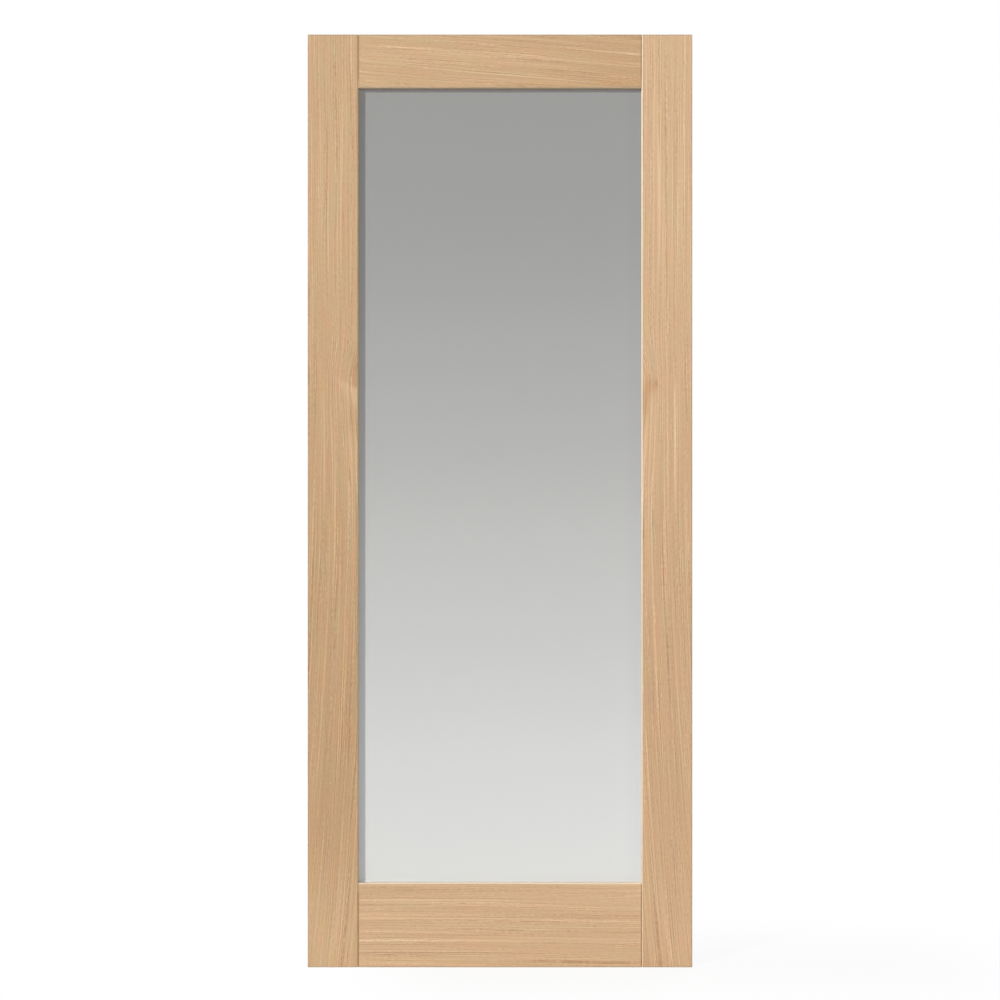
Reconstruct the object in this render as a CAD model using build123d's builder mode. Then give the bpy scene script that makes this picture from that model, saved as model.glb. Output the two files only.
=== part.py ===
from build123d import *
import os

# Glazed interior door leaf: oak-veneered stiles and rails around a full-height pane.
# Millimetres, +Z up. The front face looks along -Y. The origin is on the hinge edge, at the foot of
# the leaf and half-way through its thickness.

# Leaf
LEAF_WIDTH = 838.0
LEAF_HEIGHT = 2032.0
LEAF_THICKNESS = 35.0
STILE_WIDTH = 110.0  # outer edge to the sight line of the pane
TOP_RAIL_HEIGHT = 116.0  # top edge to the sight line
BOTTOM_RAIL_HEIGHT = 183.0  # bottom edge to the sight line

# Build-up of the stiles and rails
VENEER = 0.6
OUTER_LIPPING = 8.0  # solid oak strip on each long outer edge
INNER_LIPPING = 8.0  # solid oak behind the floor of the glazing rebate
ARRIS = 1.0  # bevel on the long outer edges
BEVEL = 2.0  # bevel round the pane and on both sides of each V-joint

# Glazing rebate, open to the back and closed by loose beads
REBATE = 12.0  # sight line to the floor of the rebate
STOP_DEPTH = 13.0  # front face to the back of the fixed stop
GLASS = 6.0
GLASS_EDGE_GAP = 3.0  # edge of the pane to the floor of the rebate
GLASS_ARRIS = 0.5
TAPE = 1.5
TAPE_WIDTH = 6.0
TAPE_SETBACK = 1.5  # sight line to the edge of the tape
BEAD_SETBACK = 1.5  # back of the bead below the back face of the leaf
BEAD_ROUND = 2.0

# Planes and lines that the pieces share
FRONT = -LEAF_THICKNESS / 2
BACK = LEAF_THICKNESS / 2
STOP_BACK = FRONT + STOP_DEPTH
GLASS_FRONT = STOP_BACK + TAPE
GLASS_BACK = GLASS_FRONT + GLASS
BEAD_FRONT = GLASS_BACK + TAPE
BEAD_BACK = BACK - BEAD_SETBACK
SIGHT_LEFT = STILE_WIDTH
SIGHT_BOTTOM = BOTTOM_RAIL_HEIGHT
SIGHT_TOP = LEAF_HEIGHT - TOP_RAIL_HEIGHT
MIDDLE_X = LEAF_WIDTH / 2
MIDDLE_Z = (SIGHT_BOTTOM + SIGHT_TOP) / 2
SIGHT_WIDTH = LEAF_WIDTH - 2 * STILE_WIDTH
SIGHT_HEIGHT = SIGHT_TOP - SIGHT_BOTTOM

LEFT_TO_RIGHT = Plane.YZ.offset(MIDDLE_X)
TOP_TO_BOTTOM = Plane.XY.offset(MIDDLE_Z)


def write(built, name):
    """Labels a finished piece and writes it to its own file."""
    built.part.label = name
    export_step(built.part, f"parts/{name}.step")


def write_pair(built, names, about):
    """Writes a piece and its mirror image."""
    with BuildPart() as image:
        mirror(built.part, about=about)
    write(built, names[0])
    write(image, names[1])


def edge_profile(bevel):
    """(depth, distance outside the sight line) along a moulded inner edge, from the front face to the back.

    A negative bevel slopes the other way, which gives the coped end that meets the moulded edge.
    """
    return [
        (FRONT, bevel),
        (FRONT + abs(bevel), 0),
        (STOP_BACK, 0),
        (STOP_BACK, REBATE),
        (BACK - abs(bevel), REBATE),
        (BACK, REBATE + bevel),
    ]


def stile_blank():
    """Left stile before it is parted into layers: one section, run along the whole height."""
    outer_edge = [(ARRIS, BACK), (0, BACK - ARRIS), (0, FRONT + ARRIS), (ARRIS, FRONT)]
    inner_edge = [(SIGHT_LEFT - outside, depth) for depth, outside in edge_profile(BEVEL)]
    with BuildPart() as blank:
        with BuildSketch(Plane.XY):
            with BuildLine():
                Polyline(*outer_edge, *inner_edge, close=True)
            make_face()
        extrude(amount=LEAF_HEIGHT)
    return blank.part


def rail_blank(sight, outward, outer):
    """A rail before it is parted: the plan with its coped ends, crossed with the section along its length."""
    left_end = [(SIGHT_LEFT - outside, depth) for depth, outside in edge_profile(-BEVEL)]
    right_end = [(LEAF_WIDTH - x, depth) for x, depth in reversed(left_end)]
    moulded_edge = [(depth, sight + outward * outside) for depth, outside in edge_profile(BEVEL)]
    with BuildPart() as blank:
        with BuildSketch(Plane.XY):
            with BuildLine():
                Polyline(*left_end, *right_end, close=True)
            make_face()
        extrude(amount=LEAF_HEIGHT)
        with BuildSketch(Plane.YZ):
            with BuildLine():
                Polyline((FRONT, outer), *moulded_edge, (BACK, outer), close=True)
            make_face()
        extrude(amount=LEAF_WIDTH, mode=Mode.INTERSECT)
    return blank.part


def parted(blank, cuts):
    """What is left of a blank on the kept side of each cutting plane."""
    with BuildPart() as piece:
        add(blank)
        for plane, kept_side in cuts:
            split(bisect_by=plane, keep=kept_side)
    return piece


def at_depth(y):
    return Plane((0, y, 0), z_dir=(0, 1, 0))


def at_width(x):
    return Plane((x, 0, 0), z_dir=(1, 0, 0))


def at_height(z):
    return Plane((0, 0, z), z_dir=(0, 0, 1))


FRONT_VENEER = [(at_depth(FRONT + VENEER), Keep.BOTTOM)]
BACK_VENEER = [(at_depth(BACK - VENEER), Keep.TOP)]
BETWEEN_VENEERS = [(at_depth(FRONT + VENEER), Keep.TOP), (at_depth(BACK - VENEER), Keep.BOTTOM)]


def make_stiles():
    """Each stile is a softwood core between two veneers, with solid oak along both long edges."""
    blank = stile_blank()
    outer_seam = at_width(OUTER_LIPPING)
    inner_seam = at_width(STILE_WIDTH - REBATE - INNER_LIPPING)
    layers = {
        "front_veneer": FRONT_VENEER,
        "back_veneer": BACK_VENEER,
        "outer_lipping": [*BETWEEN_VENEERS, (outer_seam, Keep.BOTTOM)],
        "core": [*BETWEEN_VENEERS, (outer_seam, Keep.TOP), (inner_seam, Keep.BOTTOM)],
        "inner_lipping": [*BETWEEN_VENEERS, (inner_seam, Keep.TOP)],
    }
    for layer, cuts in layers.items():
        names = [f"left_stile_{layer}", f"right_stile_{layer}"]
        write_pair(parted(blank, cuts), names, LEFT_TO_RIGHT)


def make_rail(name, sight, outward, outer):
    """A rail is a softwood core between two veneers, with solid oak along the edge that holds the pane."""
    blank = rail_blank(sight, outward, outer)
    seam = at_height(sight + outward * (REBATE + INNER_LIPPING))
    core_side, lipping_side = (Keep.TOP, Keep.BOTTOM) if outward > 0 else (Keep.BOTTOM, Keep.TOP)
    layers = {
        "front_veneer": FRONT_VENEER,
        "back_veneer": BACK_VENEER,
        "core": [*BETWEEN_VENEERS, (seam, core_side)],
        "inner_lipping": [*BETWEEN_VENEERS, (seam, lipping_side)],
    }
    for layer, cuts in layers.items():
        write(parted(blank, cuts), f"{name}_{layer}")


def make_glass_pane():
    """Toughened pane with seamed edges, standing clear of the rebate's floor all round."""
    cover = REBATE - GLASS_EDGE_GAP
    face = Plane((MIDDLE_X, GLASS_FRONT, MIDDLE_Z), x_dir=(1, 0, 0), z_dir=(0, 1, 0))
    with BuildPart() as pane:
        with BuildSketch(face):
            Rectangle(SIGHT_WIDTH + 2 * cover, SIGHT_HEIGHT + 2 * cover)
        extrude(amount=GLASS)
        chamfer(pane.edges(), length=GLASS_ARRIS)
    write(pane, "glass_pane")


def make_glazing_tape(side, depth):
    """Strips of tape on one face of the pane: the upright ones run past the ends of the level ones."""
    inside = TAPE_SETBACK
    outside = TAPE_SETBACK + TAPE_WIDTH
    strip_middle = (inside + outside) / 2
    upright_face = Plane((SIGHT_LEFT - strip_middle, depth, MIDDLE_Z), x_dir=(1, 0, 0), z_dir=(0, 1, 0))
    level_face = Plane((MIDDLE_X, depth, SIGHT_TOP + strip_middle), x_dir=(1, 0, 0), z_dir=(0, 1, 0))
    with BuildPart() as upright:
        with BuildSketch(upright_face):
            Rectangle(TAPE_WIDTH, SIGHT_HEIGHT + 2 * outside)
        extrude(amount=TAPE)
    with BuildPart() as level:
        with BuildSketch(level_face):
            Rectangle(SIGHT_WIDTH + 2 * inside, TAPE_WIDTH)
        extrude(amount=TAPE)
    write_pair(upright, [f"left_{side}_tape", f"right_{side}_tape"], LEFT_TO_RIGHT)
    write_pair(level, [f"top_{side}_tape", f"bottom_{side}_tape"], TOP_TO_BOTTOM)


def mitre(x, z, outward_x, outward_z):
    """Mitre plane through a corner of the sight line, with the upright bead on its top side."""
    return Plane((x, 0, z), z_dir=(outward_x, 0, -outward_z))


def make_beads():
    """Loose beads that hold the pane from the back, mitred where they meet."""
    lower_left = mitre(SIGHT_LEFT, SIGHT_BOTTOM, -1, -1)
    upper_left = mitre(SIGHT_LEFT, SIGHT_TOP, -1, 1)
    upper_right = mitre(LEAF_WIDTH - SIGHT_LEFT, SIGHT_TOP, 1, 1)
    section = [(BEAD_FRONT, 0), (BEAD_BACK, 0), (BEAD_BACK, REBATE), (BEAD_FRONT, REBATE)]
    with BuildPart() as upright:
        with BuildSketch(Plane.XY.offset(SIGHT_BOTTOM - REBATE)):
            with BuildLine():
                Polyline(*[(SIGHT_LEFT - outside, depth) for depth, outside in section], close=True)
            make_face()
        extrude(amount=SIGHT_HEIGHT + 2 * REBATE)
        shown_edge = upright.edges().filter_by(Axis.Z).group_by(Axis.Y)[-1].sort_by(Axis.X)[-1]
        fillet(shown_edge, radius=BEAD_ROUND)
        split(bisect_by=lower_left, keep=Keep.TOP)
        split(bisect_by=upper_left, keep=Keep.TOP)
    with BuildPart() as level:
        with BuildSketch(Plane.YZ.offset(SIGHT_LEFT - REBATE)):
            with BuildLine():
                Polyline(*[(depth, SIGHT_TOP + outside) for depth, outside in section], close=True)
            make_face()
        extrude(amount=SIGHT_WIDTH + 2 * REBATE)
        shown_edge = level.edges().filter_by(Axis.X).group_by(Axis.Y)[-1].sort_by(Axis.Z)[0]
        fillet(shown_edge, radius=BEAD_ROUND)
        split(bisect_by=upper_left, keep=Keep.BOTTOM)
        split(bisect_by=upper_right, keep=Keep.BOTTOM)
    write_pair(upright, ["left_bead", "right_bead"], LEFT_TO_RIGHT)
    write_pair(level, ["top_bead", "bottom_bead"], TOP_TO_BOTTOM)


os.makedirs("parts", exist_ok=True)
make_stiles()
make_rail("top_rail", SIGHT_TOP, 1, LEAF_HEIGHT)
make_rail("bottom_rail", SIGHT_BOTTOM, -1, 0)
make_glass_pane()
make_glazing_tape("front", STOP_BACK)
make_glazing_tape("back", GLASS_BACK)
make_beads()
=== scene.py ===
"""Looks for the glazed door leaf: oak veneer, solid oak, pine cores, satin glass and studio light."""
import math
from collections import namedtuple

import bmesh
import bpy
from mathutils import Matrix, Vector


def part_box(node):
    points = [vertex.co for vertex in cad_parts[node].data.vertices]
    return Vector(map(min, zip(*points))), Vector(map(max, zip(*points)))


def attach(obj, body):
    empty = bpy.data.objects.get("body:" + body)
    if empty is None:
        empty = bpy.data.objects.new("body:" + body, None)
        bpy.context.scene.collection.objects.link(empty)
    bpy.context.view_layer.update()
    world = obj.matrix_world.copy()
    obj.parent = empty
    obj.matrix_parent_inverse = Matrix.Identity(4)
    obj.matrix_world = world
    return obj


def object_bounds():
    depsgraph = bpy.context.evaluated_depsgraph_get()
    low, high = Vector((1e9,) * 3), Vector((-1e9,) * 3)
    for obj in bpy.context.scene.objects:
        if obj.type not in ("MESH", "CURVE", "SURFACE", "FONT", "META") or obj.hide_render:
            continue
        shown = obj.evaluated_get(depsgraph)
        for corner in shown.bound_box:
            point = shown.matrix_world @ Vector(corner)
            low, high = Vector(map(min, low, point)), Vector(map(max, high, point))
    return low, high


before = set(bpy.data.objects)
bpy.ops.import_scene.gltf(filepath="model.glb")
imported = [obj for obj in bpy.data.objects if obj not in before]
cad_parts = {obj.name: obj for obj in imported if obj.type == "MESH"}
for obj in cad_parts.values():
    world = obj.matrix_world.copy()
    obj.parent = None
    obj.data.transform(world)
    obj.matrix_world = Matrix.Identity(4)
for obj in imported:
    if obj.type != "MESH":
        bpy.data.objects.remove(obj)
cad_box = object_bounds()

MM = 0.001
LEAF_LOW, LEAF_HIGH = cad_box
LEAF_WIDTH = LEAF_HIGH.x - LEAF_LOW.x
LEAF_DEPTH = LEAF_HIGH.y - LEAF_LOW.y
LEAF_MIDDLE = (LEAF_LOW + LEAF_HIGH) / 2


def sight_line():
    """Low and high corners of the pane that shows, in millimetres, from the beads round it."""
    low = Vector((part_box("left_bead")[1].x, 0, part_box("bottom_bead")[1].z))
    high = Vector((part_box("right_bead")[0].x, 0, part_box("top_bead")[0].z))
    return low / MM, high / MM


def linear(red, green, blue):
    """Linear colour of an 8-bit display colour."""
    shares = [channel / 255 for channel in (red, green, blue)]
    return tuple(s / 12.92 if s <= 0.04045 else ((s + 0.055) / 1.055) ** 2.4 for s in shares)


def toned(colour, factors):
    """A colour times a tone, channel by channel."""
    return tuple(channel * factor for channel, factor in zip(colour, factors))


PANE_LOW, PANE_HIGH = sight_line()

# Camera, in metres: the photograph is 1000 pixels square, and the leaf is 384.65 pixels wide in it
IMAGE_PIXELS = 1000
LEAF_PIXELS = 384.65
CAMERA_DISTANCE = 3.2
CAMERA_HEIGHT = 1.018
SENSOR_MM = 36.0

# Suns: the way the light travels, its strength, its spread in degrees and whether it makes highlights.
# The key light's travel follows from the shadows that the frame throws on the recessed pane
SUNS = {
    "key": (Vector((16.4, 14.5, -7.1)), 2.52, 0.7, True),
    "front": (Vector((0.0, 1.0, -0.03)), 1.02, 2.0, False),
    "top": (Vector((0.0, 0.0, -1.0)), 0.8, 10.0, True),
    "back": (Vector((-0.5, -0.8, -0.3)), 2.4, 50.0, True),
}
FILL_STRENGTH = 0.05

# Floor: side in metres, then its speckle and how it runs from nearly white to white, in millimetres
FLOOR_SIZE = 60.0
FLOOR_SPECKLE = 3.0
FLOOR_TONES = [(0.3, (0.86, 0.86, 0.86)), (0.7, (0.90, 0.90, 0.90))]
SHADOW_NEAR, SHADOW_FAR = 10.0, 420.0
NEAR_WHITE = 0.90

# Oak tones, from the dark streaks to the light ones
VENEER_TONES = [
    (0.00, linear(166, 128, 88)),
    (0.30, linear(186, 149, 109)),
    (0.50, linear(199, 163, 123)),
    (0.70, linear(210, 175, 135)),
    (1.00, linear(224, 192, 153)),
]
LIPPING_TONES = [
    (0.00, linear(186, 156, 121)),
    (0.50, linear(209, 181, 148)),
    (1.00, linear(228, 205, 175)),
]
# Pale copy of the strip tones for inner strips that face the light: a painted highlight
LIT_LIPPING_TONES = [
    (0.00, linear(222, 204, 178)),
    (0.50, linear(235, 220, 196)),
    (1.00, linear(243, 232, 213)),
]
CUT_END_TONES = [
    (0.00, linear(160, 122, 84)),
    (1.00, linear(205, 174, 138)),
]

# Layers of oak grain: width and length in millimetres, detail and place of the noise, and weight in the
# tone
Layer = namedtuple("Layer", "width length detail place weight", defaults=(None,))
BROAD = Layer(36.0, 1100.0, 1.0, 3.1, 0.10)
BANDS = Layer(11.0, 600.0, 1.0, 7.7, 0.18)
STREAKS = Layer(4.4, 420.0, 2.0, 13.3, 0.36)
LINES = Layer(1.9, 290.0, 0.0, 17.1, 0.86)
FINE = Layer(1.8, 46.0, 1.0, 21.9, 0.70)
FLECKS = Layer(2.2, 8.0, 0.0, 61.3, 0.34)
VEINS = Layer(3.6, 520.0, 0.0, 27.3, 0.22)
SHORT_LAYERS = (FINE, FLECKS)  # these keep their length on a board whose grain is stretched
GRAIN_ROUGHNESS = 0.55
VEIN_LEVELS = (0.60, 0.72)

# Share of the neighbour half a step away that is taken off the thin layers, to calm their slow swings
NEIGHBOUR = 0.70

# Lines of grain wander over this length. Growth rings swell and pinch across a board: width and length of
# the change, depth of its noise, and shift in millimetres
WANDER_LENGTH = 420.0
SWELL_WIDTH, SWELL_LENGTH, SWELL_DEPTH = 13.0, 900.0, 0.5
SWELL_SHIFT = 8.0

# Busy and calm patches of grain, and how strong the thin layers are in each
BUSY = Layer(16.0, 260.0, 1.0, 41.3)
BUSY_LEVELS = (0.34, 0.66)
CALM_SHARE, BUSY_SHARE = 0.45, 1.30

# Patches of colour along a board: two swings, each with the tones at its two ends
WARM_PATCH = Layer(24.0, 110.0, 1.0, 31.7)
WARM_TONE = (1.055, 0.951, 0.982)
COOL_TONE = (0.951, 1.054, 1.011)
YELLOW_PATCH = Layer(20.0, 150.0, 1.0, 51.9)
YELLOW_TONE = (1.033, 1.005, 0.945)
PALE_TONE = (0.968, 0.995, 1.058)
PATCH_HIGH_LEVELS = (0.50, 0.72)
PATCH_LOW_LEVELS = (0.50, 0.28)

# Open pores: size of the dashes in millimetres, levels of the noise, share left in the light bands, and
# how strongly they show
PORE_WIDTH, PORE_DEPTH, PORE_LENGTH = 0.42, 5.0, 9.0
PORE_LEVELS = (0.58, 0.70)
PORE_BAND_LEVELS = (0.62, 0.38)
PORE_LEAST = 0.35
PORE_SHARE = 0.30
PORE_TONE = (0.52, 0.42, 0.33)

# Finish of oak: roughness, what a pore adds to it, rise of the fine grain, and relief in millimetres
OAK_ROUGHNESS = 0.60
PORE_ROUGHNESS = 0.15
FINE_RISE = 0.35
WOOD_RELIEF = 0.08

# Darker, greyer line along the outer arrises: width in millimetres, and the share of it that is fully
# darkened
RIM_WIDTH = 2.6
RIM_SOLID = 0.3
RIM_TONE = (0.70, 0.77, 0.87)

# Cut ends soak up the finish and turn darker. Solid oak shows dots of pores there, in millimetres
END_FACING = (0.60, 0.70)
# On the 45-degree bevels of the joints this dark tone is partly painted shade of the groove
END_TONE = (0.44, 0.36, 0.30)
DOT_SIZE = 0.5
DOT_LEVELS = (0.35, 0.65)

# Solid oak: slant of the growth rings through its depth, and strength of its grain
RING_SLANT = 0.8
SOLID_CONTRAST = 0.8

# Shades along joints: the hairline between two beads, painted shade in the groove beside the bottom rail,
# and painted shade on the strip at the pane's right edge, more towards the foot. Heights and widths in
# millimetres
JOINT_TONE = (0.45, 0.38, 0.30)
HAIRLINE = (0.55, 0.15)
GROOVE_SHADE_TONE = (0.86, 0.78, 0.70)
GROOVE_EDGE = 1.0
FOOT_SHADE_TONE = (0.78, 0.77, 0.77)
FOOT_SHADE_HIGH, FOOT_SHADE_LOW = 1750.0, 420.0

# Lean of the stiles' grain: towards the pane going up from the foot, straight above LEAN_TOP
FOOT_LEAN = 0.10
LEAN_TOP = 1250.0

# Tone along a stile: heights in millimetres between which it goes from dark to pale, and of the pale foot
STILE_RISE = (600.0, 1720.0)
STILE_DARK, STILE_PALE = -0.117, 0.073
STILE_FOOT = (320.0, 40.0)

# Tone along the top rail: distances from the left edge of the leaf, and tone before and after
RAIL_TURN = (330.0, 760.0)
RAIL_LEFT, RAIL_RIGHT = 0.035, -0.10

# Knot at the pane's edge of each stile, by height and by distance in from the outer edge: the lines bend
# out round it, and come back more slowly below it. Each bend: push, and reach above and below the knot
KNOT_RUN = 1275.0
KNOT_SIDE = 108.0
SHARP_BEND = (14.0, 55.0, 150.0)
GENTLE_BEND = (6.0, 130.0, 320.0)
HEART_TONE = (0.93, 0.85, 0.81)

# Left knot: a pale flare of strokes under a slanting brow, darker wood above it and a dark patch below it
STROKE_WIDTH, STROKE_LENGTH = 2.2, 26.0
STROKE_LEVELS = (0.36, 0.60)
STROKE_LEAST = 0.35
FLARE_RUN = 1262.0
FLARE_SLANT = 0.7
FLARE_EDGE = (64.0, 88.0)
FLARE_SHIFT = 0.21
BROW_SLANT = 0.45
BROW_EDGE = (1268.0, 1258.0)
ABOVE_SIDE = (86.0, 104.0)
ABOVE_FOOT = (1258.0, 1268.0)
ABOVE_HEAD = (1370.0, 1310.0)
ABOVE_SHIFT = -0.16
ABOVE_REDNESS = 0.25
BELOW_SIDE = (62.0, 92.0)
BELOW_RUN = (1188.0, 34.0)
BELOW_SHIFT = -0.09

# Right knot: a red-brown heart with a small dark mark, and a tail beside the pane. Each pair is a centre
# and a reach, but for the tail's edge
HEART_SIDE, HEART_RUN = (92.0, 13.0), (1267.0, 19.0)
HEART_SHIFT = -0.07
HEART_REDNESS = 1.1
MARK_SIDE, MARK_RUN = (78.0, 2.8), (1271.0, 9.0)
MARK_SHIFT = -0.34
TAIL_EDGE = (90.0, 102.0)
TAIL_RUN = (1228.0, 30.0)
TAIL_SHIFT = -0.14
TAIL_REDNESS = 0.7

# Pine: staves, each with its own pith, annual rings, fibre and glue lines. Sizes are in millimetres, late
# wood and glue lie at shares of a ring and of a stave, and a swing or roughness is a factor and an offset
PINE_TONES = [
    (0.00, linear(178, 132, 84)),
    (0.45, linear(214, 178, 128)),
    (1.00, linear(232, 204, 160)),
]
STAVE_WIDTH = 27.0
STAVE_TURN = 0.618
STAVE_SWING = (0.12, -0.06)
PITH_TURN, PITH_START = 0.414, 0.3
PITH_ACROSS, PITH_THROUGH = 60.0, 80.0
RING_WIDTH = 4.6
RING_WOBBLE = 9.0
WOBBLE_WIDTH, WOBBLE_LENGTH = 14.0, 320.0
LATE_START = (0.45, 0.92)
LATE_END = (1.0, 0.94)
LATE_SWING = (-0.62, 0.72)
FIBRE_WIDTH, FIBRE_LENGTH = 0.7, 40.0
FIBRE_SWING = (0.35, -0.17)
PINE_ROUGHNESS = (0.1, 0.6)
GLUE_LOW, GLUE_HIGH = (0.014, 0.004), (0.986, 0.996)
GLUE_SHARE = 0.55
GLUE_COLOUR = (*linear(120, 84, 50), 1.0)

# Grey of the pane from its head to its foot, with a painted reflection, darker at the head and paler at
# the foot
PANE_GREY_AND_REFLECTION = [
    (0.00, linear(144, 144, 142)),
    (0.27, linear(156, 156, 155)),
    (0.52, linear(178, 178, 176)),
    (0.77, linear(199, 200, 198)),
    (1.00, linear(213, 214, 212)),
]

# Painted light and shade in the pane's grey at its edges, which evens out the light that the frame throws
# back or keeps off, and how far in from the edge each reaches, in millimetres
HEAD_LIFT, HEAD_REACH = (1.04, 1.04, 1.04), 14.0
FOOT_LIFT, FOOT_REACH = (1.22, 1.21, 1.24), 5.0
RIGHT_DIM, RIGHT_REACH = (0.93, 0.937, 0.968), 45.0
LEFT_COOL, LEFT_REACH = (0.915, 0.955, 1.005), 22.0

# Heights between which the painted cooling of the left edge, against warm light from the wood, sets in
COOL_RISE = (1100.0, 600.0)

# Faint clouds and etched grain of the pane: sizes and relief in millimetres, and roughness as for pine
CLOUD_SIZE = 160.0
CLOUD_LEVELS = (0.35, 0.65)
CLOUD_SHARE = 0.02
CLOUD_TONE = (0.9, 0.9, 0.9)
ETCH_SIZE = 0.35
ETCH_RELIEF = 0.01
GLASS_ROUGHNESS = (0.08, 0.48)
GLASS_IOR = 1.52
GLASS_CLEARNESS = 0.12

# Foam tape and steel pins: size of the cells and scuffs, and relief, in millimetres, and roughness as for
# pine
TAPE_TONES = [(0.3, linear(120, 118, 112)), (0.7, linear(158, 156, 150))]
TAPE_CELL = 0.5
TAPE_ROUGHNESS = (0.15, 0.75)
TAPE_RELIEF = 0.05
STEEL_TONES = [(0.3, linear(120, 112, 100)), (0.7, linear(176, 168, 154))]
STEEL_SCUFF = 0.3
STEEL_ROUGHNESS = (0.25, 0.3)

# Pin heads along the beads, in metres: low domes with a shoulder at these shares of radius and rise
PIN_SPACING = 0.15
PIN_END = 0.04
PIN_RADIUS = 0.0009
PIN_RISE = 0.00025
PIN_SIDES = 14
PIN_SHOULDER = (0.6, 0.75)

SIDES = ("left", "right", "top", "bottom")
UPRIGHT_SIDES = ("left", "right")

# Grain of a piece: the axis it runs along, the edge that its lines are counted from, and the way inward
Grain = namedtuple("Grain", "axis edge inward")
LEFT_UPRIGHT = Grain("Z", LEAF_LOW.x / MM, 1.0)
RIGHT_UPRIGHT = Grain("Z", LEAF_HIGH.x / MM, -1.0)
LEVEL = Grain("X", 0.0, 1.0)


class Nodes:
    """Node tree of a material or world, with short calls for the nodes that it is made of."""

    def __init__(self, owner):
        owner.use_nodes = True
        self.owner = owner
        self.tree = owner.node_tree
        self.tree.nodes.clear()

    def add(self, kind, **settings):
        node = self.tree.nodes.new(kind)
        for key, value in settings.items():
            setattr(node, key, value)
        return node

    def feed(self, socket, value):
        """Links a socket to a node's output, or sets it to a constant."""
        if isinstance(value, bpy.types.NodeSocket):
            self.tree.links.new(value, socket)
        else:
            socket.default_value = value

    def feed_all(self, node, values):
        for key, value in values.items():
            self.feed(node.inputs[key], value)

    def math(self, operation, *values):
        node = self.add("ShaderNodeMath", operation=operation)
        for socket, value in zip(node.inputs, values):
            self.feed(socket, value)
        return node.outputs[0]

    def chain(self, operation, first, *others):
        """Several values put together by one operation."""
        total = first
        for other in others:
            total = self.math(operation, total, other)
        return total

    def sum(self, *values):
        return self.chain("ADD", *values)

    def product(self, *values):
        return self.chain("MULTIPLY", *values)

    def least(self, *values):
        return self.chain("MINIMUM", *values)

    def most(self, *values):
        return self.chain("MAXIMUM", *values)

    def difference(self, value, other):
        return self.math("SUBTRACT", value, other)

    def scaled(self, value, factor, offset=0.0):
        return self.math("MULTIPLY_ADD", value, factor, offset)

    def distance(self, value, place):
        return self.math("ABSOLUTE", self.scaled(value, 1.0, -place))

    def hypotenuse(self, first, second):
        squares = self.sum(self.math("POWER", first, 2.0), self.math("POWER", second, 2.0))
        return self.math("SQRT", squares)

    def bell(self, value, centre, reach, reach_below=None):
        """1 at the centre, falling to nothing at about twice the reach, which may differ below it."""
        below = reach_below or reach
        away = self.most(
            self.scaled(value, 1 / reach, -centre / reach),
            self.scaled(value, -1 / below, centre / below),
        )
        return self.math("EXPONENT", self.scaled(self.product(away, away), -1.0))

    def smooth(self, value, low, high, to_low=0.0, to_high=1.0):
        """An eased step from to_low to to_high, as the value goes from low to high."""
        node = self.add("ShaderNodeMapRange", interpolation_type="SMOOTHSTEP")
        self.feed_all(node, {"Value": value, "From Min": low, "From Max": high})
        self.feed_all(node, {"To Min": to_low, "To Max": to_high})
        return node.outputs["Result"]

    def vector(self, x, y, z):
        node = self.add("ShaderNodeCombineXYZ")
        self.feed_all(node, {"X": x, "Y": y, "Z": z})
        return node.outputs[0]

    def noise(self, vector, scale=1.0, detail=2.0, roughness=0.5):
        node = self.add("ShaderNodeTexNoise")
        self.feed_all(node, {"Vector": vector, "Scale": scale, "Detail": detail, "Roughness": roughness})
        return node.outputs["Fac"]

    def ramp(self, value, stops, interpolation="LINEAR"):
        node = self.add("ShaderNodeValToRGB")
        node.color_ramp.interpolation = interpolation
        elements = node.color_ramp.elements
        while len(elements) < len(stops):
            elements.new(0.5)
        for element, (place, colour) in zip(elements, stops):
            element.position = place
            element.color = (*colour, 1.0)
        self.feed(node.inputs["Fac"], value)
        return node.outputs["Color"]

    def mix(self, share, first, second, blend="MIX"):
        node = self.add("ShaderNodeMix", data_type="RGBA", blend_type=blend)
        sockets = {socket.identifier: socket for socket in node.inputs}
        self.feed(sockets["Factor_Float"], share)
        self.feed(sockets["A_Color"], first)
        self.feed(sockets["B_Color"], second)
        return next(socket for socket in node.outputs if socket.identifier == "Result_Color")

    def tint(self, share, colour, tone):
        """The colour times a tone, over a share of the surface."""
        return self.mix(share, colour, (*tone, 1.0), "MULTIPLY")


class Material(Nodes):
    """Node tree of a new material, with calls for places on its surface and for its shader."""

    def __init__(self, name):
        super().__init__(bpy.data.materials.new(name))

    def position(self):
        """X, Y and Z of the point in its object's frame, in millimetres. A node's frame is the leaf's."""
        coordinate = self.add("ShaderNodeTexCoord")
        split = self.add("ShaderNodeSeparateXYZ")
        self.feed(split.inputs[0], coordinate.outputs["Object"])
        return [self.scaled(axis, 1.0 / MM) for axis in split.outputs]

    def facing(self, axis):
        """How squarely the surface faces along an axis, 0 to 1."""
        geometry = self.add("ShaderNodeNewGeometry")
        split = self.add("ShaderNodeSeparateXYZ")
        self.feed(split.inputs[0], geometry.outputs["True Normal"])
        return self.math("ABSOLUTE", split.outputs[axis])

    def speckle(self, size):
        """Noise of one size in millimetres, the same in all directions."""
        return self.noise(self.vector(*self.position()), scale=1 / size)

    def surface(self, colour, roughness, height=None, relief=0.0, **settings):
        """Closes the tree with one shader. A height gives it a bump, with its relief in millimetres."""
        shader = self.add("ShaderNodeBsdfPrincipled")
        self.feed_all(shader, {"Base Color": colour, "Roughness": roughness})
        self.feed_all(shader, {key.replace("_", " "): value for key, value in settings.items()})
        if height is not None:
            bump = self.add("ShaderNodeBump")
            self.feed_all(bump, {"Strength": 1.0, "Distance": relief * MM, "Height": height})
            self.feed(shader.inputs["Normal"], bump.outputs["Normal"])
        output = self.add("ShaderNodeOutputMaterial")
        self.feed(output.inputs["Surface"], shader.outputs["BSDF"])
        return self.owner


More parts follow.
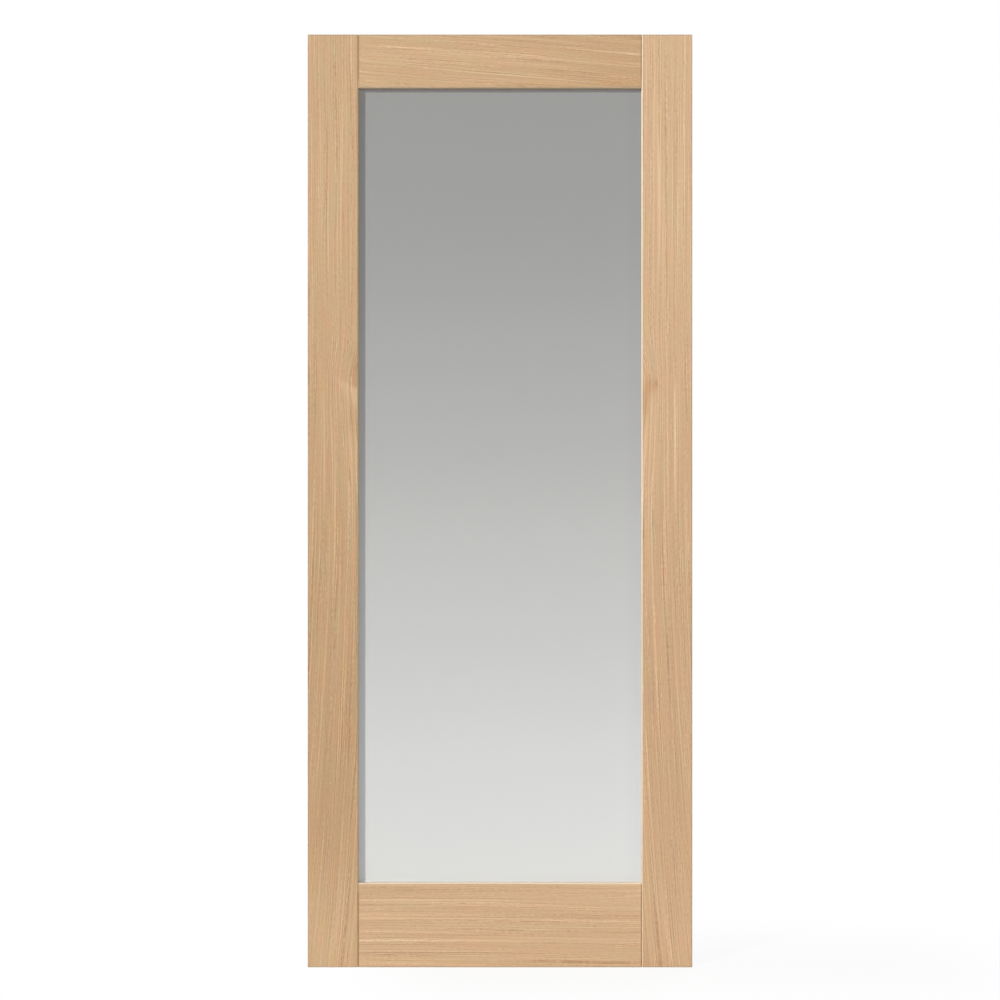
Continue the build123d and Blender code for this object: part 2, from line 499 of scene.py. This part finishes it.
class Board(Material):
    """Material of a piece of oak, with noise that follows its lines of grain."""

    def __init__(self, name, grain, seed, slant, stretch, contrast):
        super().__init__(name)
        self.seed = seed
        self.stretch = stretch
        self.contrast = contrast
        self.x, self.y, self.z = self.position()
        upright = grain.axis == "Z"
        self.run = self.z if upright else self.x
        across = self.x if upright else self.z
        inward = self.scaled(across, grain.inward, -grain.inward * grain.edge)
        self.side = self.sum(inward, self.scaled(self.y, slant))
        self.line = self.side

        # Both faces of the leaf lie on whole steps of the noise, where it has the fewest slow swings
        self.depth = self.scaled(self.y, MM / LEAF_DEPTH, 0.5)

    def grain(self, layer, shift=0.0):
        """Noise of a layer, drawn out along the lines of grain."""
        length = layer.length if layer in SHORT_LAYERS else layer.length * self.stretch
        sideways = self.scaled(self.line, 1 / layer.width, self.seed + layer.place + shift)
        along = self.scaled(self.run, 1 / length, layer.place)
        place = self.vector(sideways, self.depth, along)
        return self.noise(place, detail=layer.detail, roughness=GRAIN_ROUGHNESS)

    def thin(self, layer):
        """Noise of a thin layer, less a share of its neighbour."""
        beside = self.grain(layer, shift=0.5)
        return self.sum(self.grain(layer), self.scaled(beside, -NEIGHBOUR, 0.5 * NEIGHBOUR))

    def swing(self, noise, layer):
        """Noise of a layer as a change of tone, up and down from nought."""
        weight = self.contrast * layer.weight
        return self.scaled(noise, weight, -0.5 * weight)


def stile_lean(board):
    """How far the lines of a stile have moved in from the outer edge at a height."""
    low = board.least(board.run, LEAN_TOP)
    return board.product(low, board.scaled(low, -0.5 * FOOT_LEAN / LEAN_TOP, FOOT_LEAN))


def falling(slope):
    """Lean of a rail whose lines fall evenly to the right."""
    return lambda board: board.scaled(board.run, -slope)


def stile_drift(foot):
    """Tone along a stile: palest near the head, darkest in its lower half, and paler at the foot."""
    return lambda board: board.sum(
        board.smooth(board.run, *STILE_RISE, STILE_DARK, STILE_PALE),
        board.smooth(board.run, *STILE_FOOT, 0.0, foot),
    )


def darker_to_right(board):
    """Tone along the top rail: even over its left part, then darker."""
    return board.smooth(board.run, *RAIL_TURN, RAIL_LEFT, RAIL_RIGHT)


def left_knot(board):
    """Change of tone and redness round the left knot."""
    side, run = board.side, board.run
    stroke_place = board.vector(
        board.scaled(board.line, 1 / STROKE_WIDTH), 0.0, board.scaled(run, 1 / STROKE_LENGTH)
    )
    strokes = board.smooth(board.noise(stroke_place, detail=1.0), *STROKE_LEVELS, STROKE_LEAST, 1.0)
    slanted = board.sum(side, board.scaled(run, FLARE_SLANT, -FLARE_SLANT * FLARE_RUN))
    brow = board.sum(run, board.scaled(side, BROW_SLANT, -BROW_SLANT * KNOT_SIDE))
    flare = board.product(board.smooth(slanted, *FLARE_EDGE), board.smooth(brow, *BROW_EDGE), strokes)
    above = board.product(
        board.smooth(side, *ABOVE_SIDE), board.smooth(run, *ABOVE_FOOT), board.smooth(run, *ABOVE_HEAD)
    )
    below = board.product(board.smooth(side, *BELOW_SIDE), board.bell(run, *BELOW_RUN))
    shift = board.sum(
        board.scaled(flare, FLARE_SHIFT),
        board.scaled(above, ABOVE_SHIFT),
        board.scaled(below, BELOW_SHIFT),
    )
    return shift, board.scaled(above, ABOVE_REDNESS)


def right_knot(board):
    """Change of tone and redness round the right knot."""
    side, run = board.side, board.run
    heart = board.product(board.bell(side, *HEART_SIDE), board.bell(run, *HEART_RUN))
    tail = board.product(board.smooth(side, *TAIL_EDGE), board.bell(run, *TAIL_RUN))
    mark = board.product(board.bell(side, *MARK_SIDE), board.bell(run, *MARK_RUN))
    shift = board.sum(
        board.scaled(mark, MARK_SHIFT),
        board.scaled(heart, HEART_SHIFT),
        board.scaled(tail, TAIL_SHIFT),
    )
    redness = board.sum(board.scaled(heart, HEART_REDNESS), board.scaled(tail, TAIL_REDNESS))
    return shift, redness


def bend_lines(board, wander, lean, knot, knot_spread):
    """Lets the lines of grain wander and lean along the board, swell and pinch, and bend round a knot."""
    wander_place = board.vector(board.seed, board.scaled(board.run, 1 / WANDER_LENGTH), 0.0)
    sway = board.noise(wander_place, detail=1.0)
    board.line = board.sum(board.side, board.scaled(sway, 4 * wander, -2 * wander))
    if lean:
        board.line = board.difference(board.line, lean(board))
    across = board.scaled(board.line, 1 / SWELL_WIDTH, board.seed)
    swell = board.noise(
        board.vector(across, SWELL_DEPTH, board.scaled(board.run, 1 / SWELL_LENGTH)), detail=1.0
    )
    board.line = board.sum(board.line, board.scaled(swell, 2 * SWELL_SHIFT, -SWELL_SHIFT))
    if knot:
        near = board.smooth(board.side, KNOT_SIDE - knot_spread, KNOT_SIDE)
        for push, above, below in (SHARP_BEND, GENTLE_BEND):
            bend = board.bell(board.run, KNOT_RUN, above, below)
            board.line = board.sum(board.line, board.product(bend, near, push))


def grain_tone(board, bands, fine):
    """Tone of the grain, round the middle of the ramp: the thin layers are stronger in busy patches."""
    thin_layers = board.sum(
        board.swing(board.grain(STREAKS), STREAKS),
        board.swing(board.thin(LINES), LINES),
        board.swing(fine, FINE),
        board.swing(board.grain(FLECKS), FLECKS),
    )
    busy = board.smooth(board.grain(BUSY), *BUSY_LEVELS, CALM_SHARE, BUSY_SHARE)
    veins = board.smooth(board.grain(VEINS), *VEIN_LEVELS)
    return board.sum(
        0.5,
        board.swing(board.grain(BROAD), BROAD),
        board.swing(bands, BANDS),
        board.product(busy, thin_layers),
        board.scaled(veins, board.contrast * VEINS.weight),
    )


def with_patches(board, colour, blush):
    """The colour with patches that are a little warmer or cooler, and yellower or paler."""
    swings = ((WARM_PATCH, WARM_TONE, COOL_TONE), (YELLOW_PATCH, YELLOW_TONE, PALE_TONE))
    for layer, high_tone, low_tone in swings:
        patch = board.grain(layer)
        colour = board.tint(board.smooth(patch, *PATCH_HIGH_LEVELS, 0.0, blush), colour, high_tone)
        colour = board.tint(board.smooth(patch, *PATCH_LOW_LEVELS, 0.0, blush), colour, low_tone)
    return colour


def open_pores(board, bands):
    """Share of the open pores: short dashes, thickest in the dark bands."""
    place = board.vector(
        board.scaled(board.line, 1 / PORE_WIDTH, board.seed),
        board.scaled(board.y, 1 / PORE_DEPTH, board.seed),
        board.scaled(board.run, 1 / PORE_LENGTH),
    )
    dashes = board.smooth(board.noise(place, detail=1.0), *PORE_LEVELS)
    return board.product(dashes, board.smooth(bands, *PORE_BAND_LEVELS, PORE_LEAST, 1.0))


def rim_shade(board):
    """Share of the thin darker, greyer line along the leaf's outer arrises."""
    low, high = LEAF_LOW / MM, LEAF_HIGH / MM
    beside = board.least(
        board.scaled(board.x, 1.0, -low.x),
        board.scaled(board.x, -1.0, high.x),
        board.scaled(board.z, 1.0, -low.z),
        board.scaled(board.z, -1.0, high.z),
    )
    deep = board.least(board.scaled(board.y, 1.0, -low.y), board.scaled(board.y, -1.0, high.y))
    return board.smooth(board.sum(beside, deep), RIM_WIDTH, RIM_SOLID * RIM_WIDTH)


def oak(
    name, grain, tones, tone=(1.0, 1.0, 1.0), seed=0.0, slant=0.0, stretch=1.0, contrast=1.0,
    wander=2.5, lean=None, drift=None, knot=None, knot_spread=0.0, blush=0.42,
):
    """Straight-grained oak without its cut ends: the board, and its colour, roughness and height.

    tone colours the whole board, and seed places its noise. slant turns the growth rings through its
    depth. stretch, contrast and wander (in millimetres) shape the grain, and blush is the strength of the
    patches of colour. lean and drift give the lean of the lines and the tone along the board. knot gives
    the tone and redness round a knot, and knot_spread how far from it the lines bend, in millimetres.
    """
    board = Board(name, grain, seed, slant, stretch, contrast)
    bend_lines(board, wander, lean, knot, knot_spread)
    bands = board.grain(BANDS)
    fine = board.thin(FINE)
    value = grain_tone(board, bands, fine)
    if knot:
        shift, redness = knot(board)
        value = board.sum(value, shift)
    if drift:
        value = board.sum(value, drift(board))
    colour = board.ramp(value, [(place, toned(shade, tone)) for place, shade in tones])
    if knot:
        colour = board.tint(redness, colour, HEART_TONE)
    colour = with_patches(board, colour, blush)
    pores = open_pores(board, bands)
    colour = board.tint(board.scaled(pores, PORE_SHARE), colour, PORE_TONE)
    colour = board.tint(rim_shade(board), colour, RIM_TONE)
    roughness = board.scaled(pores, PORE_ROUGHNESS, OAK_ROUGHNESS)
    height = board.difference(board.scaled(fine, FINE_RISE), pores)
    return board, colour, roughness, height


def end_grain(material, axis):
    """1 where the wood is cut across its grain, on a square end or a bevel at 45 degrees."""
    return material.smooth(material.facing(axis), *END_FACING)


def veneer(name, grain, **settings):
    """Oak veneer, darker where it is cut across."""
    board, colour, roughness, height = oak(name, grain, VENEER_TONES, **settings)
    colour = board.tint(end_grain(board, grain.axis), colour, END_TONE)
    return board.surface(colour, roughness, height, WOOD_RELIEF)


def solid_oak(name, grain, tones=LIPPING_TONES, shades=(), **settings):
    """Planed solid oak, with dots of pores where it is cut across. A shade is a place and its tone."""
    board, colour, roughness, height = oak(
        name, grain, tones, slant=RING_SLANT, contrast=SOLID_CONTRAST, **settings
    )
    dots = board.smooth(board.speckle(DOT_SIZE), *DOT_LEVELS)
    colour = board.mix(end_grain(board, grain.axis), colour, board.ramp(dots, CUT_END_TONES))
    for share, tone in shades:
        colour = board.tint(share(board), colour, tone)
    return board.surface(colour, roughness, height, WOOD_RELIEF)


def beside_bottom_rail(board):
    """1 below the pane, where a stile's inner strip shows only in the joint and gets painted shade."""
    return board.smooth(board.z, PANE_LOW.z, PANE_LOW.z - GROOVE_EDGE)


def shaded_to_foot(board):
    """Share of painted shade on the pane's right edge, more towards the foot, none beside the bottom
    rail.
    """
    beside_pane = board.smooth(board.z, PANE_LOW.z - GROOVE_EDGE, PANE_LOW.z)
    return board.product(board.smooth(board.z, FOOT_SHADE_HIGH, FOOT_SHADE_LOW), beside_pane)


def mitre_line(board):
    """Share of the hairline where two beads meet, at equal distances outside the sight line."""
    middle = (PANE_LOW + PANE_HIGH) / 2
    beside = board.scaled(board.distance(board.x, middle.x), 1.0, PANE_LOW.x - middle.x)
    beyond = board.scaled(board.distance(board.z, middle.z), 1.0, PANE_LOW.z - middle.z)
    return board.smooth(board.math("ABSOLUTE", board.difference(beside, beyond)), *HAIRLINE)


def late_wood(n, y, stave, within, turn, wobble):
    """Share of the dark late wood of the annual rings, round a pith that each stave has elsewhere."""
    drop = n.math("FRACT", n.scaled(stave, PITH_TURN, PITH_START))
    pith_across = n.scaled(turn, PITH_ACROSS, -0.5 * PITH_ACROSS)
    pith_through = n.scaled(drop, PITH_THROUGH, -0.5 * PITH_THROUGH)
    radius = n.hypotenuse(
        n.difference(n.scaled(within, STAVE_WIDTH), pith_across), n.difference(y, pith_through)
    )
    grown = n.sum(radius, n.scaled(wobble, RING_WOBBLE), n.scaled(turn, RING_WOBBLE))
    rings = n.math("FRACT", n.scaled(grown, 1 / RING_WIDTH))
    return n.product(n.smooth(rings, *LATE_START), n.smooth(rings, *LATE_END))


def pine(name, axis, end_share):
    """Softwood core of glued staves: annual rings where it is cut across, straight lines along it."""
    n = Material(name)
    x, y, z = n.position()
    side, run = (x, z) if axis == "Z" else (z, x)

    def noise(width, length, detail):
        place = n.vector(n.scaled(side, 1 / width), n.scaled(y, 1 / width), n.scaled(run, 1 / length))
        return n.noise(place, detail=detail)

    staves = n.scaled(side, 1 / STAVE_WIDTH)
    stave = n.math("FLOOR", staves)
    within = n.difference(staves, stave)
    turn = n.math("FRACT", n.scaled(stave, STAVE_TURN))
    late = late_wood(n, y, stave, within, turn, noise(WOBBLE_WIDTH, WOBBLE_LENGTH, 1.0))
    fibre = noise(FIBRE_WIDTH, FIBRE_LENGTH, 2.0)
    value = n.sum(
        n.scaled(late, *LATE_SWING), n.scaled(fibre, *FIBRE_SWING), n.scaled(turn, *STAVE_SWING)
    )
    glue = n.most(n.smooth(within, *GLUE_LOW), n.smooth(within, *GLUE_HIGH))
    colour = n.mix(n.scaled(glue, GLUE_SHARE), n.ramp(value, PINE_TONES), GLUE_COLOUR)
    colour = n.tint(n.scaled(end_grain(n, axis), end_share), colour, END_TONE)
    return n.surface(colour, n.scaled(fibre, *PINE_ROUGHNESS), n.difference(fibre, late), WOOD_RELIEF)


def satin_glass():
    """Satin pane with a painted reflection, darker at the head and pale at the foot, with a faint etched
    grain.
    """
    n = Material("satin_glass")
    x, _, z = n.position()
    height = PANE_HIGH.z - PANE_LOW.z
    grey = n.ramp(n.scaled(z, -1 / height, PANE_HIGH.z / height), PANE_GREY_AND_REFLECTION, "CARDINAL")
    left_edge = n.smooth(x, PANE_LOW.x + LEFT_REACH, PANE_LOW.x)
    shades = (
        (n.smooth(z, PANE_HIGH.z - HEAD_REACH, PANE_HIGH.z), HEAD_LIFT),
        (n.smooth(z, PANE_LOW.z + FOOT_REACH, PANE_LOW.z), FOOT_LIFT),
        (n.smooth(x, PANE_HIGH.x - RIGHT_REACH, PANE_HIGH.x), RIGHT_DIM),
        (n.product(left_edge, n.smooth(z, *COOL_RISE)), LEFT_COOL),
        (n.smooth(n.speckle(CLOUD_SIZE), *CLOUD_LEVELS, 0.0, CLOUD_SHARE), CLOUD_TONE),
    )
    for share, tone in shades:
        grey = n.tint(share, grey, tone)
    etch = n.speckle(ETCH_SIZE)
    return n.surface(
        grey, n.scaled(etch, *GLASS_ROUGHNESS), etch, ETCH_RELIEF,
        IOR=GLASS_IOR, Transmission_Weight=GLASS_CLEARNESS,
    )


def glazing_tape():
    """Grey closed-pore foam."""
    n = Material("glazing_tape")
    cells = n.speckle(TAPE_CELL)
    return n.surface(n.ramp(cells, TAPE_TONES), n.scaled(cells, *TAPE_ROUGHNESS), cells, TAPE_RELIEF)


def pin_steel():
    """Drawn steel with dull scuffs."""
    n = Material("pin_steel")
    scuffs = n.speckle(STEEL_SCUFF)
    return n.surface(n.ramp(scuffs, STEEL_TONES), n.scaled(scuffs, *STEEL_ROUGHNESS), Metallic=1.0)


# Boards of the stiles, which are a matched pair, and the strips along their edges
OUTER_STRIP_SEED, INNER_STRIP_SEED = 11.0, 15.0
STILE_END_SHARE = 0.8
STILES = {
    "left_stile": {
        "grain": LEFT_UPRIGHT,
        "seed": 0.0,
        "veneer": {
            "tone": (0.842, 0.846, 0.846),
            "lean": stile_lean,
            "drift": stile_drift(foot=0.24),
            "knot": left_knot,
            "knot_spread": 95.0,
            "blush": 0.62,
        },
        # Painted light: lighter, against the shade in the joint beside the pane
        "inner_strip": {"tone": (1.2, 1.2, 1.2)},
    },
    "right_stile": {
        "grain": RIGHT_UPRIGHT,
        "seed": 0.35,
        "veneer": {
            "tone": (0.927, 0.946, 1.008),
            "lean": stile_lean,
            "drift": stile_drift(foot=0.05),
            "knot": right_knot,
            "knot_spread": 62.0,
            "blush": 0.45,
        },
        # Painted highlight: pale where the key light catches the strip
        "inner_strip": {
            "tones": LIT_LIPPING_TONES,
            "shades": ((beside_bottom_rail, GROOVE_SHADE_TONE), (shaded_to_foot, FOOT_SHADE_TONE)),
        },
    },
}

# Boards of the rails, and the strip along the edge of each that holds the pane
RAIL_STRIP_SEED = 11.0
RAIL_END_SHARE = 1.0
RAILS = {
    "top_rail": {
        "grain": LEVEL,
        "seed": 80.0,
        "veneer": {
            "tone": (0.892, 0.911, 0.926),
            "lean": falling(slope=0.08),
            "drift": darker_to_right,
            "wander": 2.2,
            "stretch": 0.8,
            "contrast": 0.88,
        },
        # Painted shade: darker and greyer, as under the rail
        "inner_strip": {"tone": (0.76, 0.78, 0.83)},
    },
    "bottom_rail": {
        "grain": LEVEL,
        "seed": 120.0,
        "veneer": {
            "tone": (0.923, 0.951, 1.012),
            "lean": falling(slope=0.008),
            "wander": 4.0,
            "stretch": 1.6,
            "contrast": 0.98,
        },
        # Painted highlight: pale where the light catches the strip
        "inner_strip": {"tones": LIT_LIPPING_TONES},
    },
}

# The back of each member is another board, and so are the beads
FACE_SEEDS = {"front": 0.0, "back": 40.0}
UPRIGHT_BEAD_SEED, LEVEL_BEAD_SEED = 60.0, 70.0
BEAD_SHADES = ((mitre_line, JOINT_TONE),)


def dress(node, material):
    """Gives a CAD node one material."""
    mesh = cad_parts[node].data
    mesh.materials.clear()
    mesh.materials.append(material)


def dress_faces_and_core(member, board, end_share):
    """Veneers both faces of a stile or rail, and dresses the core between them."""
    grain = board["grain"]
    for face, shift in FACE_SEEDS.items():
        oak_face = veneer(f"{member}_{face}_oak", grain, seed=board["seed"] + shift, **board["veneer"])
        dress(f"{member}_{face}_veneer", oak_face)
    dress(f"{member}_core", pine(f"{member}_pine", grain.axis, end_share))


def dress_members():
    """Gives each stile and rail its own board."""
    for member, board in STILES.items():
        dress_faces_and_core(member, board, STILE_END_SHARE)
        grain, seed = board["grain"], board["seed"]
        outer_strip = solid_oak(f"{member}_outer_solid_oak", grain, seed=seed + OUTER_STRIP_SEED)
        inner_strip = solid_oak(
            f"{member}_inner_solid_oak", grain, seed=seed + INNER_STRIP_SEED, **board["inner_strip"]
        )
        dress(f"{member}_outer_lipping", outer_strip)
        dress(f"{member}_inner_lipping", inner_strip)
    for member, board in RAILS.items():
        dress_faces_and_core(member, board, RAIL_END_SHARE)
        grain, seed = board["grain"], board["seed"]
        strip = solid_oak(
            f"{member}_solid_oak", grain, seed=seed + RAIL_STRIP_SEED, **board["inner_strip"]
        )
        dress(f"{member}_inner_lipping", strip)


def dress_glazing():
    """Dresses the pane, and the tape and beads that hold it."""
    dress("glass_pane", satin_glass())
    tape = glazing_tape()
    upright_oak = solid_oak("upright_bead_oak", LEFT_UPRIGHT, seed=UPRIGHT_BEAD_SEED, shades=BEAD_SHADES)
    level_oak = solid_oak("level_bead_oak", LEVEL, seed=LEVEL_BEAD_SEED, shades=BEAD_SHADES)
    for side in SIDES:
        dress(f"{side}_front_tape", tape)
        dress(f"{side}_back_tape", tape)
        dress(f"{side}_bead", upright_oak if side in UPRIGHT_SIDES else level_oak)


def bead_pins():
    """Pin heads along the middle of each bead's back face, as low domes."""
    mesh = bmesh.new()
    for side in SIDES:
        low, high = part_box(f"{side}_bead")
        axis = 2 if side in UPRIGHT_SIDES else 0
        start, end = low[axis] + PIN_END, high[axis] - PIN_END
        count = round((end - start) / PIN_SPACING)
        for step in range(count + 1):
            centre = (low + high) / 2
            centre[axis] = start + (end - start) * step / count
            centre.y = high.y
            add_dome(mesh, centre)
    data = bpy.data.meshes.new("bead_pins")
    mesh.to_mesh(data)
    mesh.free()
    data.materials.append(pin_steel())
    for polygon in data.polygons:
        polygon.use_smooth = True
    pins = bpy.data.objects.new("bead_pins", data)
    bpy.context.scene.collection.objects.link(pins)
    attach(pins, "root")


def add_dome(mesh, centre):
    """One closed pin head: three rings and a top point over a flat underside."""
    shoulder_radius, shoulder_rise = PIN_SHOULDER
    rings = (
        (PIN_RADIUS, -PIN_RISE),
        (PIN_RADIUS, 0.0),
        (shoulder_radius * PIN_RADIUS, shoulder_rise * PIN_RISE),
    )
    loops = []
    for radius, rise in rings:
        loop = []
        for step in range(PIN_SIDES):
            angle = 2 * math.pi * step / PIN_SIDES
            offset = Vector((radius * math.cos(angle), rise, -radius * math.sin(angle)))
            loop.append(mesh.verts.new(centre + offset))
        loops.append(loop)
    mesh.faces.new(reversed(loops[0]))
    top = mesh.verts.new(centre + Vector((0, PIN_RISE, 0)))
    for step in range(PIN_SIDES):
        after = (step + 1) % PIN_SIDES
        for lower, upper in zip(loops, loops[1:]):
            mesh.faces.new((lower[step], lower[after], upper[after], upper[step]))
        mesh.faces.new((loops[-1][step], loops[-1][after], top))


def white_to_view(n):
    """1 for rays that show the background straight, mirrored or through glass."""
    path = n.add("ShaderNodeLightPath")
    rays = ("Is Camera Ray", "Is Glossy Ray", "Is Transmission Ray")
    return n.most(*[path.outputs[ray] for ray in rays])


def floor_material():
    """Pale floor that runs out to white away from the shadow.

    X is counted from the middle of the leaf. The key light throws the shadow to the right, so the floor
    is least white from the middle to one leaf's width further right.
    """
    n = Material("studio_floor")
    x, y, _ = n.position()
    half = LEAF_WIDTH / 2 / MM
    beside = n.most(n.scaled(n.distance(x, half), 1.0, -half), 0.0)
    away = n.hypotenuse(beside, y)
    diffuse = n.add("ShaderNodeBsdfDiffuse")
    n.feed(diffuse.inputs["Color"], n.ramp(n.speckle(FLOOR_SPECKLE), FLOOR_TONES))
    white = n.add("ShaderNodeEmission")
    share = n.product(white_to_view(n), n.smooth(away, SHADOW_NEAR, SHADOW_FAR, NEAR_WHITE, 1.0))
    blend = n.add("ShaderNodeMixShader")
    n.feed(blend.inputs[0], share)
    n.feed(blend.inputs[1], diffuse.outputs[0])
    n.feed(blend.inputs[2], white.outputs[0])
    output = n.add("ShaderNodeOutputMaterial")
    n.feed(output.inputs["Surface"], blend.outputs[0])
    return n.owner


def make_floor():
    """Level floor under the leaf, with its origin below the leaf's middle."""
    bpy.ops.mesh.primitive_plane_add(size=FLOOR_SIZE, location=(LEAF_MIDDLE.x, 0.0, LEAF_LOW.z))
    floor = bpy.context.object
    floor.name = "floor"
    floor.data.materials.append(floor_material())


def make_world():
    """Even fill light, with a background that is white wherever it is seen."""
    world = bpy.data.worlds.new("studio")
    bpy.context.scene.world = world
    n = Nodes(world)
    background = n.add("ShaderNodeBackground")
    n.feed(background.inputs["Color"], (1.0, 1.0, 1.0, 1.0))
    n.feed(background.inputs["Strength"], n.smooth(white_to_view(n), 0.0, 1.0, FILL_STRENGTH, 1.0))
    output = n.add("ShaderNodeOutputWorld")
    n.feed(output.inputs["Surface"], background.outputs[0])


def make_sun(name, travel, strength, spread, highlights):
    """Light from far away, with its spread in degrees."""
    light = bpy.data.lights.new(name, "SUN")
    light.energy = strength
    light.angle = math.radians(spread)
    lamp = bpy.data.objects.new(name, light)
    lamp.rotation_mode = "QUATERNION"
    lamp.rotation_quaternion = travel.to_track_quat("-Z", "Y")
    lamp.visible_glossy = highlights
    bpy.context.scene.collection.objects.link(lamp)


def make_camera():
    """Square to the front of the leaf, level, as the photograph is taken."""
    image_width = IMAGE_PIXELS * LEAF_WIDTH / LEAF_PIXELS
    data = bpy.data.cameras.new("camera")
    data.sensor_width = SENSOR_MM
    data.lens = SENSOR_MM * CAMERA_DISTANCE / image_width
    camera = bpy.data.objects.new("camera", data)
    camera.location = (LEAF_MIDDLE.x, LEAF_LOW.y - CAMERA_DISTANCE, CAMERA_HEIGHT)
    camera.rotation_euler = (math.radians(90), 0, 0)
    bpy.context.scene.collection.objects.link(camera)
    bpy.context.scene.camera = camera


dress_members()
dress_glazing()
bead_pins()
make_floor()
make_world()
for sun, settings in SUNS.items():
    make_sun(sun, *settings)
make_camera()
bpy.context.scene.view_settings.view_transform = "Standard"
